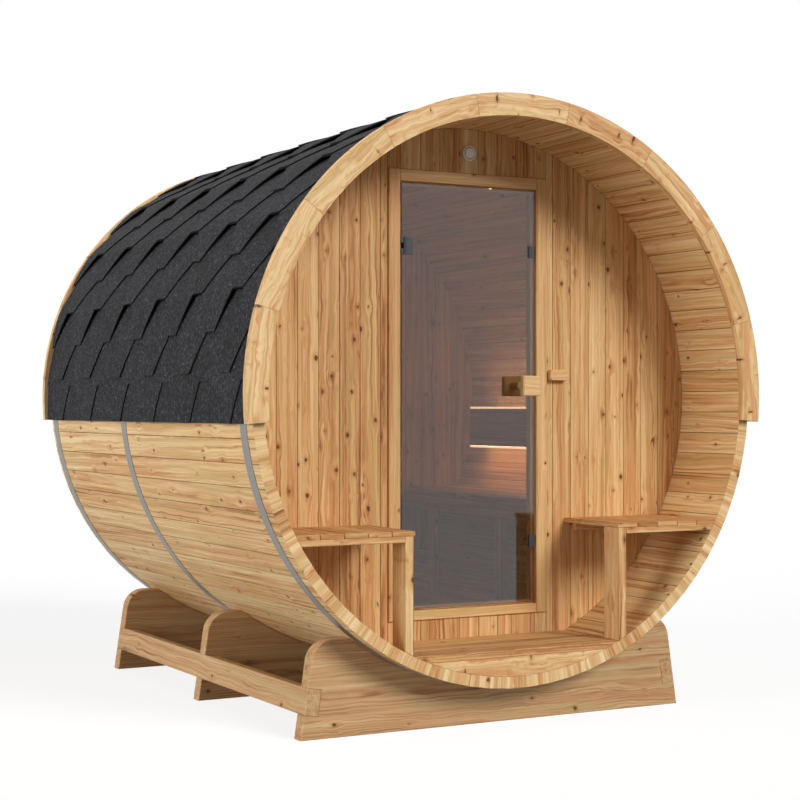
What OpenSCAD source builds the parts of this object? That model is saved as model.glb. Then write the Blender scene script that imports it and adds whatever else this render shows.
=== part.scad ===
// Barrel sauna: a horizontal barrel of wooden staves on three cradles, with a
// shingled upper half, an open porch with two benches, a glass door and one
// bench inside. Millimetres, +Z up, the porch faces -Y. The origin is on the
// ground, under the middle of the barrel.

/* [Barrel] */
// Outside diameter over the corners of the staves
barrel_d = 1910; // [1860:10:2400]
// Length of the staves, from the porch end to the back end
barrel_len = 1990; // [1800:10:3600]
// Thickness of a stave
stave_t = 38; // [28:1:48]
// Number of staves, a multiple of the eleven stave groups
stave_count = 77; // [66:11:99]
// Gap between the ground and the lowest stave
ground_gap = 128; // [60:1:240]

/* [Hoops] */
// Width of a steel hoop
hoop_w = 48; // [20:1:60]
// Thickness of a steel hoop
hoop_t = 1.5; // [1:0.1:3]
// Porch end of the staves to the middle of the front hoop
front_hoop_set = 74; // [40:1:90]
// Porch end of the staves to the middle of the middle hoop
middle_hoop_set = 1147; // [1100:1:1300]
// Back end of the staves to the middle of the back hoop
back_hoop_set = 47; // [30:1:90]

/* [Roof] */
// Thickness of the shingle covering
roof_t = 22; // [8:1:30]
// How far the roof edge lies below the middle of the barrel
roof_drop = 90; // [0:5:200]

/* [Arches] */
// Thickness of an arch board
arch_t = 24; // [16:1:40]
// How far an arch stands out past the roof
arch_rise = 7; // [0:1:20]
// How far an arch stands in past the staves
arch_lap = 7; // [0:1:20]
// Number of boards in an arch
arch_boards = 9; // [5:2:13]

/* [End walls] */
// Thickness of the front and back walls
wall_t = 42; // [28:1:60]
// Porch end of the staves to the face of the front wall
porch_depth = 325; // [250:5:600]
// Back end of the staves to the face of the back wall
back_recess = 130; // [60:5:200]

/* [Floor] */
// Height of the top of the floor above the lowest stave
floor_up = 90; // [70:1:120]
// Thickness of the floor boards
floor_t = 24; // [18:1:30]
// Thickness of a floor bearer
bearer_t = 24; // [18:1:40]
// Number of floor bearers in the room
room_bearers = 4; // [2:1:8]

/* [Door] */
// Height of the door frame above the floor
door_up = 70; // [20:1:80]
// Width of the glass door leaf
door_w = 530; // [480:2:600]
// Height of the glass door leaf
door_h = 1436; // [1300:2:1460]
// Thickness of the glass
glass_t = 8; // [6:1:10]
// Gap all round the door leaf
door_gap = 6; // [5:0.5:8]
// Width of a side post of the door frame
post_w = 45; // [35:1:60]
// Height of the head of the door frame
head_h = 40; // [30:1:60]
// Height of the sill of the door frame
sill_h = 32; // [25:1:45]
// How far the door frame stands out of the wall
frame_proud = 8; // [0:1:20]
// Front of the door frame to the front of the glass
glass_set = 6; // [5:1:12]
// How far a stop laps behind the glass
stop_lap = 7; // [4:1:15]
// Thickness of a door stop
stop_t = 26; // [15:1:26]

/* [Door fittings] */
// Height of a hinge
hinge_h = 57; // [40:1:80]
// Width of the hinge clip on the glass
clip_w = 40; // [25:1:50]
// Thickness of a hinge plate
plate_t = 4; // [2:0.5:5]
// Middle of the door to a hinge, up and down
hinge_up = 505; // [300:5:600]
// Radius of a hinge knuckle
knuckle_r = 6; // [5:0.5:8]
// Radius of the hinge pin
pin_r = 3; // [2:0.5:4]
// Width of a catch plate on the free edge of the glass
catch_w = 22; // [15:1:30]
// Height of a catch plate
catch_h = 42; // [30:1:60]
// Thickness of a catch plate
catch_t = 3; // [2:0.5:4]
// Side of a square handle block
handle_side = 70; // [50:1:90]
// Thickness of a handle block
handle_t = 24; // [15:1:30]
// Gap for the fingers between the glass and a handle block
handle_gap = 48; // [20:1:60]
// Radius of the handle stem
stem_r = 15; // [8:1:20]
// Free edge of the glass to the middle of the handle
handle_in = 54; // [50:1:90]
// Height of the handle above the middle of the door
handle_up = 36; // [-100:1:150]

/* [Front wall fittings] */
// Diameter of the air vent cap
vent_d = 52; // [40:1:100]
// How far the vent cap stands out of the wall
vent_t = 10; // [5:1:30]
// Top of the door frame to the middle of the air vent
vent_up = 70; // [40:1:90]
// Length of the wooden hook block beside the door
block_l = 76; // [50:1:100]
// Height of the hook block
block_h = 38; // [25:1:50]
// Thickness of the hook block
block_t = 22; // [15:1:40]
// Door frame to the hook block
block_gap = 6; // [2:1:20]
// Height of the hook block above the middle of the door
block_up = 75; // [-100:1:200]

/* [Porch benches] */
// Height of the porch seat above the floor
porch_seat_h = 397; // [330:1:450]
// Half the open width between the two porch benches
porch_half_gap = 392; // [360:2:440]
// Number of boards in the porch seat
porch_boards = 5; // [3:1:8]
// Width of a porch bench leg, from front to back
leg_w = 90; // [60:1:140]
// Thickness of a porch bench leg
leg_t = 29; // [20:1:45]
// How far the seat boards reach past the leg
leg_set = 5; // [0:1:30]

/* [Inside bench] */
// Height of the inside seat above the floor
seat_h = 447; // [400:1:500]
// Middle of the barrel to the front edge of the inside seat
seat_in = 430; // [400:5:520]
// Number of boards in the inside seat
seat_boards = 5; // [3:1:8]
// Thickness of a seat board
seat_board_t = 16; // [12:1:28]
// Height of the front rail under the inside seat
seat_rail_h = 60; // [40:1:90]
// Width of a bench post
bench_post_w = 50; // [40:1:80]
// Distance between the two bench posts
bench_post_pitch = 516; // [300:2:900]
// Porch end of the staves to the first bench post
bench_post_set = 827; // [700:1:900]
// Staves to the face of the backrest, level with the middle of the barrel
backrest_off = 127; // [90:1:160]
// Height of the top of the backrest above the inside seat
backrest_up = 335; // [250:1:420]
// Height of a backrest board
backrest_board_h = 78; // [60:1:100]
// Thickness of a backrest board
backrest_t = 20; // [15:1:30]
// Length of the backrest
backrest_len = 1175; // [800:5:1300]
// Height of a light strip
light_h = 8; // [5:1:15]
// Thickness of a light strip
light_t = 12; // [8:1:16]

/* [Cradles] */
// Width of a cradle at the ground
cradle_w = 1466; // [1300:2:1700]
// Height of a cradle at its ends
cradle_h = 312; // [240:1:340]
// Thickness of a cradle
cradle_t = 50; // [30:1:80]
// Lean of the ends of a cradle, in degrees
cradle_lean = 8.5; // [0:0.5:15]
// Radius of the upper corners of a cradle
cradle_round = 80; // [20:5:100]
// End of the staves to the face of an outer cradle
cradle_set = 124; // [100:1:300]
// Thickness of a side rail
side_rail_t = 49; // [30:1:60]
// Height of a side rail
side_rail_h = 85; // [60:1:120]
// Height of a side rail above the ground, along the slope
side_rail_up = 79; // [20:1:90]

/* [Hidden] */
groups = 11;
staves_per_group = stave_count / groups;
function group_name(k) = str("staves_", k < 10 ? "0" : "", k);

// Facets of a large circle, for previews
round_fn = 180;
// Facets of a small circle, for previews
small_fn = 48;
// Slack between timbers that rest on each other
seat_gap = 0.3;
// Joint between two boards that lie side by side
board_gap = 2;
// Play between a hinge knuckle and the glass
knuckle_gap = 1;

axis_z = barrel_d / 2 + ground_gap;
stave_step = 360 / stave_count;
corner_r = barrel_d / 2;
inner_r = corner_r - stave_t / cos(stave_step / 2);
hoop_r = corner_r + seat_gap;
roof_r = corner_r + seat_gap + roof_t;
arch_out_r = roof_r + arch_rise;
arch_in_r = inner_r - arch_lap;
edge_angle = asin(roof_drop / roof_r);
floor_z = floor_up - inner_r;

porch_end = -barrel_len / 2;
back_end = barrel_len / 2;
wall_front = porch_end + porch_depth;
wall_back = wall_front + wall_t;
back_wall_out = back_end - back_recess;
back_wall_in = back_wall_out - wall_t;
beyond = 2 * barrel_d;

// Turns an outline drawn across the barrel, with its middle at 0, into a
// solid that runs from y0 to y1.
module along(y0, y1)
    translate([0, y1, axis_z]) rotate([90, 0, 0]) linear_extrude(y1 - y0) children();

// A plain block between two corners, with heights taken from the barrel's middle
module block(low, high)
    translate([low[0], low[1], low[2] + axis_z]) cube(high - low);

function ring_point(r, a) = [r * cos(a), r * sin(a)];

// Angle at which stave i starts. A joint lies at the very top.
function stave_start(i) = 90 + i * stave_step;

// The clear space inside the staves, less the slack of what is fitted into it
module inside_shape()
    polygon([for (i = [0 : stave_count - 1]) ring_point(inner_r - seat_gap, stave_start(i))]);

// A wedge of the plane between two angles that are less than half a turn apart
module wedge(a0, a1)
    polygon([[0, 0], ring_point(beyond, a0), ring_point(beyond, (a0 + a1) / 2), ring_point(beyond, a1)]);

// The lower part of the plane that the roof and the arches leave open
module below_roof_edge()
    polygon([[0, 0], ring_point(beyond, -edge_angle), [beyond, -beyond], [-beyond, -beyond],
             ring_point(beyond, 180 + edge_angle)]);

module ring_shape(r_in, r_out)
    difference() {
        circle(r_out, $fn = round_fn);
        circle(r_in, $fn = round_fn);
    }

// ---------------------------------------------------------------- barrel

// One stave, with its faces at half the joint from its neighbours
module stave(i) {
    slack = seat_gap / inner_r * 90 / PI;
    a0 = stave_start(i) + slack;
    a1 = stave_start(i + 1) - slack;
    along(porch_end, back_end)
        polygon([ring_point(inner_r, a0), ring_point(corner_r, a0),
                 ring_point(corner_r, a1), ring_point(inner_r, a1)]);
}

module staves(k)
    color("burlywood")
        for (i = [(k - 1) * staves_per_group : k * staves_per_group - 1]) stave(i);

function hoop_places() = [porch_end + front_hoop_set, porch_end + middle_hoop_set, back_end - back_hoop_set];

module hoops()
    color("silver")
        for (y = hoop_places())
            along(y - hoop_w / 2, y + hoop_w / 2) ring_shape(hoop_r, hoop_r + hoop_t);

// The room that the hoops take in whatever lies on the staves
module hoop_room()
    for (y = hoop_places())
        along(y - hoop_w / 2 - seat_gap, y + hoop_w / 2 + seat_gap)
            circle(hoop_r + hoop_t + seat_gap, $fn = round_fn);

module roof_shingles()
    color("dimgray")
        difference() {
            along(porch_end, back_end) difference() {
                ring_shape(hoop_r, roof_r);
                below_roof_edge();
            }
            hoop_room();
        }

module arch(y0) {
    span = (180 + 2 * edge_angle) / arch_boards;
    slack = seat_gap / arch_in_r * 180 / PI;
    color("navajowhite")
        for (i = [0 : arch_boards - 1])
            along(y0, y0 + arch_t) intersection() {
                ring_shape(arch_in_r, arch_out_r);
                wedge(i * span - edge_angle + slack, (i + 1) * span - edge_angle - slack);
            }
}

module front_arch() arch(porch_end - arch_t);
module back_arch() arch(back_end);

// ----------------------------------------------------------------- walls

opening_w = door_w + 2 * door_gap;
opening_h = door_h + 2 * door_gap;
frame_half = opening_w / 2 + post_w;
frame_bottom = floor_z + door_up;
opening_bottom = frame_bottom + sill_h;
opening_top = opening_bottom + opening_h;
frame_top = opening_top + head_h;
door_mid = opening_bottom + opening_h / 2;

module wall_part(x0, x1, z0, z1)
    color("peru")
        along(wall_front, wall_back) intersection() {
            inside_shape();
            translate([x0, z0]) square([x1 - x0, z1 - z0]);
        }

wall_half = frame_half + seat_gap;
wall_top = frame_top + seat_gap;
wall_bottom = frame_bottom - seat_gap;

module front_wall_left() wall_part(-beyond, -wall_half, -beyond, beyond);
module front_wall_right() wall_part(wall_half, beyond, -beyond, beyond);
module front_wall_top() wall_part(-frame_half, frame_half, wall_top, beyond);
module front_wall_bottom() wall_part(-frame_half, frame_half, -beyond, wall_bottom);

module back_wall()
    color("peru") along(back_wall_in, back_wall_out) inside_shape();

// ----------------------------------------------------------------- floor

module floor_boards(y0, y1)
    color("burlywood")
        along(y0, y1) intersection() {
            inside_shape();
            translate([-beyond, floor_z - floor_t]) square([2 * beyond, floor_t]);
        }

module porch_floor() floor_boards(porch_end, wall_front - seat_gap);
module room_floor() floor_boards(wall_back + seat_gap, back_wall_in - seat_gap);

module bearer(y0)
    along(y0, y0 + bearer_t) intersection() {
        inside_shape();
        translate([-beyond, -beyond]) square([2 * beyond, beyond + floor_z - floor_t - seat_gap]);
    }

// One bearer closes the front of the porch, one stands at the wall and the rest carry the room
module floor_bearers() {
    room_step = (back_wall_in - wall_back - bearer_t) / (room_bearers - 1);
    color("tan") {
        bearer(porch_end);
        bearer(wall_front - bearer_t - board_gap);
        for (i = [0 : room_bearers - 1])
            bearer(wall_back + i * room_step + (i == 0 ? board_gap : 0) - (i == room_bearers - 1 ? board_gap : 0));
    }
}

// ------------------------------------------------------------------ door

frame_front = wall_front - frame_proud;
glass_front = frame_front + glass_set;
glass_back = glass_front + glass_t;
stop_front = wall_back - stop_t;

module door_frame()
    color("wheat") {
        for (side = [-1, 1])
            block([side * (opening_w + post_w) / 2 - post_w / 2, frame_front, frame_bottom],
                  [side * (opening_w + post_w) / 2 + post_w / 2, wall_back, frame_top]);
        block([-opening_w / 2 + seat_gap, frame_front, opening_top],
              [opening_w / 2 - seat_gap, wall_back, frame_top]);
        block([-opening_w / 2 + seat_gap, frame_front, frame_bottom],
              [opening_w / 2 - seat_gap, wall_back, opening_bottom]);
    }

stop_w = door_gap + stop_lap;

module door_stops()
    color("wheat") {
        for (side = [-1, 1])
            block([side * (opening_w - stop_w) / 2 - stop_w / 2, stop_front, opening_bottom],
                  [side * (opening_w - stop_w) / 2 + stop_w / 2, wall_back, opening_top]);
        for (z = [opening_bottom, opening_top - stop_w])
            block([-opening_w / 2 + stop_w + seat_gap, stop_front, z],
                  [opening_w / 2 - stop_w - seat_gap, wall_back, z + stop_w]);
    }

module door_glass()
    color("slategray", 0.5)
        block([-door_w / 2, glass_front, door_mid - door_h / 2],
              [door_w / 2, glass_back, door_mid + door_h / 2]);

// The hinge pins stand in front of the glass, at its edge
pin_x = -door_w / 2 + knuckle_r + board_gap;
pin_y = glass_front - knuckle_r - knuckle_gap;
knuckle_h = hinge_h / 3;
hinge_heights = [door_mid - hinge_up, door_mid + hinge_up];

module knuckle(z0, z1, r)
    translate([pin_x, pin_y, axis_z + z0]) cylinder(z1 - z0, r, r, $fn = small_fn);

// Fixed half of each hinge: two knuckles and the pin, on tabs let into the side of the frame
module hinge_leaves()
    color("dimgray")
        for (z = hinge_heights)
            difference() {
                union() {
                    block([-opening_w / 2, pin_y - plate_t / 2, z - hinge_h / 2],
                          [pin_x, pin_y + plate_t / 2, z + hinge_h / 2]);
                    knuckle(z - hinge_h / 2, z + hinge_h / 2, knuckle_r);
                }
                difference() {
                    block([-frame_half, pin_y - 2 * knuckle_r, z - knuckle_h / 2],
                          [pin_x + 2 * knuckle_r, pin_y + 2 * knuckle_r, z + knuckle_h / 2]);
                    knuckle(z - knuckle_h, z + knuckle_h, pin_r);
                }
            }

// Moving half of each hinge: a knuckle, and a clip that holds both faces of the glass
module hinge_clips()
    color("dimgray")
        for (z = hinge_heights) {
            difference() {
                union() {
                    knuckle(z - knuckle_h / 2 + seat_gap, z + knuckle_h / 2 - seat_gap, knuckle_r);
                    block([pin_x, pin_y, z - knuckle_h / 2 + seat_gap],
                          [pin_x + knuckle_r + plate_t, glass_front, z + knuckle_h / 2 - seat_gap]);
                    block([pin_x + knuckle_r + seat_gap, glass_front - plate_t, z - hinge_h / 2],
                          [-door_w / 2 + clip_w, glass_front, z + hinge_h / 2]);
                }
                knuckle(z - hinge_h, z + hinge_h, pin_r + seat_gap);
            }
            block([-door_w / 2 + door_gap, glass_back, z - hinge_h / 2],
                  [-door_w / 2 + clip_w, glass_back + plate_t, z + hinge_h / 2]);
        }

// Thin plates on both faces of the glass at its free edge, level with the hinges
module catch_plates()
    color("gray")
        for (z = hinge_heights)
            for (y = [glass_front - catch_t, glass_back])
                block([door_w / 2 - catch_w, y, z - catch_h / 2], [door_w / 2, y + catch_t, z + catch_h / 2]);

// A square wooden block on a stem, one on each face of the glass
module door_handle() {
    middle = door_w / 2 - handle_in;
    height = door_mid + handle_up;
    half = handle_side / 2;
    color("sandybrown")
        for (out = [[glass_front, -1], [glass_back, 1]]) {
            translate([middle, out[0], axis_z + height]) rotate([-90 * out[1], 0, 0])
                cylinder(handle_gap, stem_r, stem_r, $fn = small_fn);
            near = out[0] + out[1] * handle_gap;
            far = near + out[1] * handle_t;
            block([middle - half, min(near, far), height - half],
                  [middle + half, max(near, far), height + half]);
        }
}

// ------------------------------------------------------- wall fittings

module vent_cap()
    color("whitesmoke")
        translate([0, wall_front, axis_z + frame_top + vent_up]) rotate([90, 0, 0])
            cylinder(vent_t, vent_d / 2, vent_d / 2, $fn = small_fn);

module hook_block()
    color("wheat")
        block([frame_half + block_gap, wall_front - block_t, door_mid + block_up - block_h / 2],
              [frame_half + block_gap + block_l, wall_front, door_mid + block_up + block_h / 2]);

// ---------------------------------------------------------- porch benches

// An outline that starts at x0 and runs out to the staves, on one side
module to_staves(side, x0, z0, z1)
    intersection() {
        inside_shape();
        if (side > 0) translate([x0, z0]) square([beyond, z1 - z0]);
        else translate([-x0 - beyond, z0]) square([beyond, z1 - z0]);
    }

// The boards of a seat, side by side, the last one cut to the staves
module seat_planks(side, x0, top, count, y0, y1) {
    chord = sqrt(inner_r * inner_r - top * top);
    pitch = (chord - x0) / count;
    for (i = [0 : count - 1])
        along(y0, y1) intersection() {
            to_staves(side, x0 + i * pitch, top - seat_board_t, top);
            if (i < count - 1)
                translate([side > 0 ? 0 : -x0 - (i + 1) * pitch + board_gap, -beyond])
                    square([side > 0 ? x0 + (i + 1) * pitch - board_gap : beyond, 2 * beyond]);
            else circle(corner_r, $fn = round_fn);
        }
}

porch_rail_h = 20;
porch_rail_t = 28;
batten_h = 28;
batten_t = 22;
porch_leg_in = porch_half_gap + leg_set;
porch_seat_z = floor_z + porch_seat_h;
porch_rail_top = porch_seat_z - seat_board_t - seat_gap;
// Lowest a leg or a post can reach where the floor lies under it
foot_z = floor_z + seat_gap;

module porch_seat(side)
    color("burlywood")
        seat_planks(side, porch_half_gap, porch_seat_z, porch_boards, porch_end, wall_front);

// The leg and the front rail carry the front of the seat, and a batten on the wall its back
module porch_frame(side)
    color("tan") {
        along(porch_end, porch_end + leg_w) intersection() {
            inside_shape();
            translate([side > 0 ? porch_leg_in : -porch_leg_in - leg_t, foot_z])
                square([leg_t, porch_rail_top - foot_z]);
        }
        along(porch_end, porch_end + porch_rail_t)
            to_staves(side, porch_leg_in + leg_t + seat_gap, porch_rail_top - porch_rail_h, porch_rail_top);
        along(wall_front - batten_t, wall_front)
            to_staves(side, porch_leg_in + leg_t, porch_rail_top - batten_h, porch_rail_top);
    }

module porch_seat_left() porch_seat(-1);
module porch_seat_right() porch_seat(1);
module porch_frame_left() porch_frame(-1);
module porch_frame_right() porch_frame(1);

// ----------------------------------------------------------- inside bench

bench_rail_t = 28;
bearer_h = 28;
seat_z = floor_z + seat_h;
bench_rail_top = seat_z - seat_board_t - seat_gap;
bench_rail_bottom = bench_rail_top - seat_rail_h;
room_gap = 1;

function bench_posts() = [for (i = [0, 1]) porch_end + bench_post_set + i * bench_post_pitch];

module bench_seat()
    color("burlywood")
        seat_planks(1, seat_in, seat_z, seat_boards, wall_back + room_gap, back_wall_in - room_gap);

module bench_frame()
    color("tan") {
        block([seat_in, wall_back + room_gap, bench_rail_bottom],
              [seat_in + bench_rail_t, back_wall_in - room_gap, bench_rail_top]);
        for (y = bench_posts()) {
            along(y - bench_post_w / 2, y + bench_post_w / 2) intersection() {
                inside_shape();
                translate([seat_in, foot_z]) square([bench_rail_t, bench_rail_bottom - seat_gap - foot_z]);
            }
            along(y - bench_post_w / 2, y + bench_post_w / 2)
                to_staves(1, seat_in + bench_rail_t + seat_gap, bench_rail_top - bearer_h, bench_rail_top);
        }
    }

backrest_in = inner_r - backrest_off;
backrest_back = backrest_in + backrest_t;
backrest_top = seat_z + backrest_up;
backrest_y1 = bench_posts()[1] + backrest_len / 4;
backrest_y0 = backrest_y1 - backrest_len;
backrest_pitch = backrest_board_h + board_gap;
backrest_bottom = backrest_top - backrest_pitch - backrest_board_h;

module backrest()
    color("burlywood") {
        for (i = [0, 1])
            block([backrest_in, backrest_y0, backrest_bottom + i * backrest_pitch],
                  [backrest_back, backrest_y1, backrest_bottom + i * backrest_pitch + backrest_board_h]);
        for (y = bench_posts())
            along(y - bench_post_w / 2, y + bench_post_w / 2)
                to_staves(1, backrest_back + seat_gap, backrest_bottom + board_gap, backrest_top - board_gap);
    }

module light_strips()
    color("lemonchiffon")
        for (z = [backrest_top + seat_gap, backrest_bottom - seat_gap - light_h])
            block([backrest_in + board_gap, backrest_y0, z],
                  [backrest_in + board_gap + light_t, backrest_y1, z + light_h]);

// -------------------------------------------------- cradles and side rails

ground = -axis_z;
lean_out = [cos(cradle_lean), sin(cradle_lean)];
lean_up = [-sin(cradle_lean), cos(cradle_lean)];
cradle_foot = [cradle_w / 2, ground];
cradle_top = ground + cradle_h;
round_mid = [cradle_foot[0] - (cradle_round + (cradle_h - cradle_round) * sin(cradle_lean)) / cos(cradle_lean),
             cradle_top - cradle_round];
round_steps = 16;

function flip(p) = [-p[0], p[1]];
function round_end() = [for (i = [0 : round_steps])
    round_mid + cradle_round * ring_point(1, cradle_lean + i * (90 - cradle_lean) / round_steps)];

// Outline of the rail that lies along the ends of the cradles, on the right-hand side
module side_rail_shape(slack) {
    low = cradle_foot + side_rail_up * lean_up - slack * lean_up + slack * lean_out;
    high = low + (side_rail_h + 2 * slack) * lean_up;
    depth = (side_rail_t + 2 * slack) * lean_out;
    polygon([low, high, high - depth, low - depth]);
}

module cradle(y0) {
    right = concat([cradle_foot], round_end());
    left = [for (i = [len(right) - 1 : -1 : 0]) flip(right[i])];
    color("tan")
        difference() {
            along(y0, y0 + cradle_t) difference() {
                polygon(concat(right, left));
                circle(corner_r + seat_gap, $fn = round_fn);
                side_rail_shape(seat_gap);
                mirror([1, 0]) side_rail_shape(seat_gap);
            }
            hoop_room();
        }
}

front_cradle_y = porch_end + cradle_set;
back_cradle_y = back_end - cradle_set - cradle_t;

module front_cradle() cradle(front_cradle_y);
module middle_cradle() cradle(-cradle_t / 2);
module back_cradle() cradle(back_cradle_y);

module side_rail_right()
    color("burlywood") along(front_cradle_y, back_cradle_y + cradle_t) side_rail_shape(0);
module side_rail_left()
    color("burlywood") along(front_cradle_y, back_cradle_y + cradle_t) mirror([1, 0]) side_rail_shape(0);

// ------------------------------------------------------------------ nodes

for (k = [1 : groups])
    staves(k);
hoops();
roof_shingles();
front_arch();
back_arch();
front_wall_left();
front_wall_right();
front_wall_top();
front_wall_bottom();
back_wall();
porch_floor();
room_floor();
floor_bearers();
door_frame();
door_stops();
hinge_leaves();
door_glass();
hinge_clips();
catch_plates();
door_handle();
vent_cap();
hook_block();
porch_seat_left();
porch_seat_right();
porch_frame_left();
porch_frame_right();
bench_seat();
bench_frame();
backrest();
light_strips();
front_cradle();
middle_cradle();
back_cradle();
side_rail_left();
side_rail_right();
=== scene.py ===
"""Barrel sauna: builds the visible staves, shingles, boards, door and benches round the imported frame."""

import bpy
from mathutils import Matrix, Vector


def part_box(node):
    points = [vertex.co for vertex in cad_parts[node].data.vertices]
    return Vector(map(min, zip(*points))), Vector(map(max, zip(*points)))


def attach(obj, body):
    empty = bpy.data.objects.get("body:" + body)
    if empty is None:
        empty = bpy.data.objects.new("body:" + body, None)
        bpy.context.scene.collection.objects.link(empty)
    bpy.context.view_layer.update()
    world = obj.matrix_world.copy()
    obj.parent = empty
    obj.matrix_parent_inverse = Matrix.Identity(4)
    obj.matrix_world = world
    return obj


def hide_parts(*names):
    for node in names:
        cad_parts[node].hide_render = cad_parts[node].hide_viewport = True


bl_info = {
    "name": "Barrel Sauna",
    "version": (1, 0, 0),
    "blender": (4, 5, 0),
    "location": "View3D > Sidebar > Barrel Sauna",
    "description": "Builds a wooden barrel sauna with its finishes and a plain studio stage",
    "category": "Object",
}

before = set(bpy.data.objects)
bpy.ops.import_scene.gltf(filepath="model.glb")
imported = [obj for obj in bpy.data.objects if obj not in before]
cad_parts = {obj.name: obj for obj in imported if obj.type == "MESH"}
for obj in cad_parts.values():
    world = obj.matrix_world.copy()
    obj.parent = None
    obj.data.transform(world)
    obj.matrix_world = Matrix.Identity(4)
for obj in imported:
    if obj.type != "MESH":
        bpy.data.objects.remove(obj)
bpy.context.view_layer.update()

import math
import random
from functools import partial

import bpy
from bpy.props import FloatProperty, FloatVectorProperty, IntProperty, PointerProperty
from bpy.types import Operator, Panel, PropertyGroup
from mathutils import Vector

# ------------------------------------------------------------- sizes

MM = 0.001
X, Y, Z = 0, 1, 2


def extent(node, axis):
    """The lowest and the highest place of a CAD node along one axis, in millimetres."""
    lowest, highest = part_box(node)
    return lowest[axis] / MM, highest[axis] / MM


AXIS_Z = sum(extent("hoops", Z)) / 2


def heights(node):
    """The lowest and the highest height of a CAD node from the barrel's middle, in millimetres."""
    return [z - AXIS_Z for z in extent(node, Z)]


STAVE_GROUPS = 11
STAVES_PER_GROUP = 7
STAVE_COUNT = STAVE_GROUPS * STAVES_PER_GROUP
STAVE_STEP = 360 / STAVE_COUNT
STAVE_T = 38
CORNER_R = 955
INNER_R = CORNER_R - STAVE_T / math.cos(math.radians(STAVE_STEP / 2))
GAP = 0.3
LINING_R = INNER_R - GAP
DECK_R = CORNER_R + GAP
PORCH_END, BACK_END = extent("staves_01", Y)
ROOF_DROP = 90
ROOF_R = 977.3
EDGE_ANGLE = math.degrees(math.asin(ROOF_DROP / ROOF_R))
ARCH_IN_R = INNER_R - 7
ARCH_OUT_R = ROOF_R + 6.8
ARCH_BOARDS = 9
WALL_FRONT, WALL_BACK = extent("front_wall_left", Y)
FLOOR_TOP = heights("porch_floor")[1]
FLOOR_T = 24

# ------------------------------------------------------------- settings


def linear(code):
    """An sRGB hex colour as linear red, green, blue and alpha."""
    out = []
    for k in (1, 3, 5):
        c = int(code[k : k + 2], 16) / 255
        out.append(c / 12.92 if c <= 0.04045 else ((c + 0.055) / 1.055) ** 2.4)
    return (*out, 1.0)


def colour(label, text, code):
    """A colour setting, from an sRGB hex default."""
    return FloatVectorProperty(
        name=label, description=text, subtype="COLOR", size=4, min=0, max=1, default=linear(code)
    )


def length(label, text, mm):
    """A length setting, from a default in millimetres."""
    return FloatProperty(name=label, description=text, unit="LENGTH", min=0, default=mm * MM)


class SaunaSizes(PropertyGroup):
    """Sizes of the detail that lies on the frame."""

    wall_board: length("Wall board", "Width of a tongue-and-groove board of the end walls", 76.4)
    floor_board: length("Floor board", "Width of a floor board", 81.2)
    groove: length("Groove", "Width of the bevel along each side of a board", 1.2)
    edge: length("Eased edge", "Bevel on the edges of bench boards and posts", 2.0)
    tab_pitch: length("Shingle tab pitch", "Distance between two tabs of one course", 333)
    tab_reveal: length("Shingle reveal", "Height of a course that stays in sight", 131)
    shingle_t: length("Shingle thickness", "Thickness of one bitumen shingle", 4.2)
    shingle_lift: length("Shingle lift", "How far every other course stands off at its notches", 14)
    underlay_t: length("Underlay", "Thickness of the felt underlay along the roof's lower edge", 12)
    seed: IntProperty(name="Seed", description="Seed of the timber's natural variation", default=7)


class SaunaColours(PropertyGroup):
    """Colours of the finishes."""

    pine_pale: colour("Palest pine", "Sapwood of the pine", "#F2D7A4")
    pine_light: colour("Pale pine", "Early wood of the pine", "#E8C48D")
    pine_mid: colour("Pine", "Plain colour of the pine", "#D6A76F")
    pine_dark: colour("Late wood", "Late wood of the pine", "#BD8650")
    pine_deep: colour("Darkest wood", "Resin-rich late wood", "#8E5930")
    pine_red: colour("Red streak", "Heartwood streaks", "#CD8A56")
    pine_green: colour("Green streak", "Greenish sapwood streaks", "#C9AC6E")
    knot: colour("Knot", "Dark heart of a knot", "#55300F")
    bitumen: colour("Shingle", "Slate granules on the shingles", "#28282A")
    cut_bitumen: colour("Cut edge", "Cut edge of a shingle", "#0B0B0C")
    steel: colour("Hoop", "Stainless steel band", "#8E8B85")
    fitting: colour("Fittings", "Powder-coated door fittings", "#2A2B2E")
    glass: colour("Glass", "Bronze tint of the door glass", "#B0A8A0")
    vent: colour("Vent", "Moulded plastic of the vent cap", "#F4F2EE")
    light: colour("Light", "Warm light strips", "#FFD6A3")


# ------------------------------------------------------------- mesh


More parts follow.
